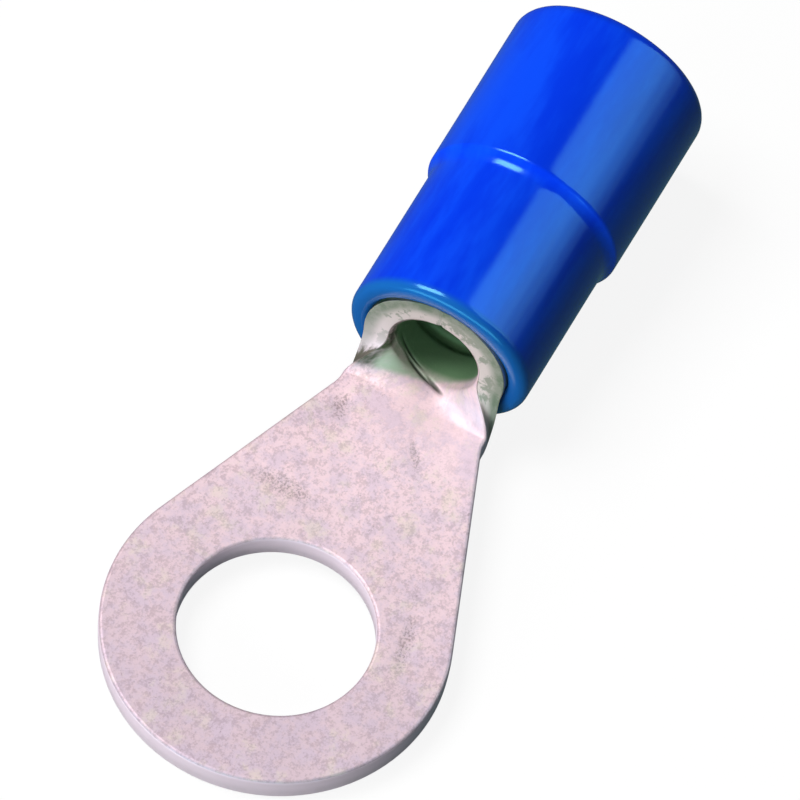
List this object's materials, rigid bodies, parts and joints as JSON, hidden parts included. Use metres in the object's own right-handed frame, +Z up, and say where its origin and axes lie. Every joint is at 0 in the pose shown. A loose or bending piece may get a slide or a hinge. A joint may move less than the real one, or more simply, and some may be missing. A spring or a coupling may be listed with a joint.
{
  "type": "insulated ring terminal",
  "caption": "Insulated ring cable lug: a stamped and rolled metal ring tongue with a wire barrel, in a stepped moulded sleeve.",
  "frame": {"origin": "centre of the stud hole, on the underside of the ring tongue", "axes": "+X along the wire barrel, from the stud hole to the end where the wire goes in; +Z up along the stud hole, away from the contact face; +Y completes the right-handed frame"},
  "size_m": [0.0235, 0.0094, 0.0057],
  "materials": {
    "tinned_copper": "matte tin plating over copper, with bare sheared edges",
    "blue_plastic": "glossy moulded insulation, colour code for 1.5 to 2.5 mm2 wire"
  },
  "bodies": {
    "root": {"ring_terminal": "tinned_copper", "insulating_sleeve": "blue_plastic"}
  },
  "joints": []
}
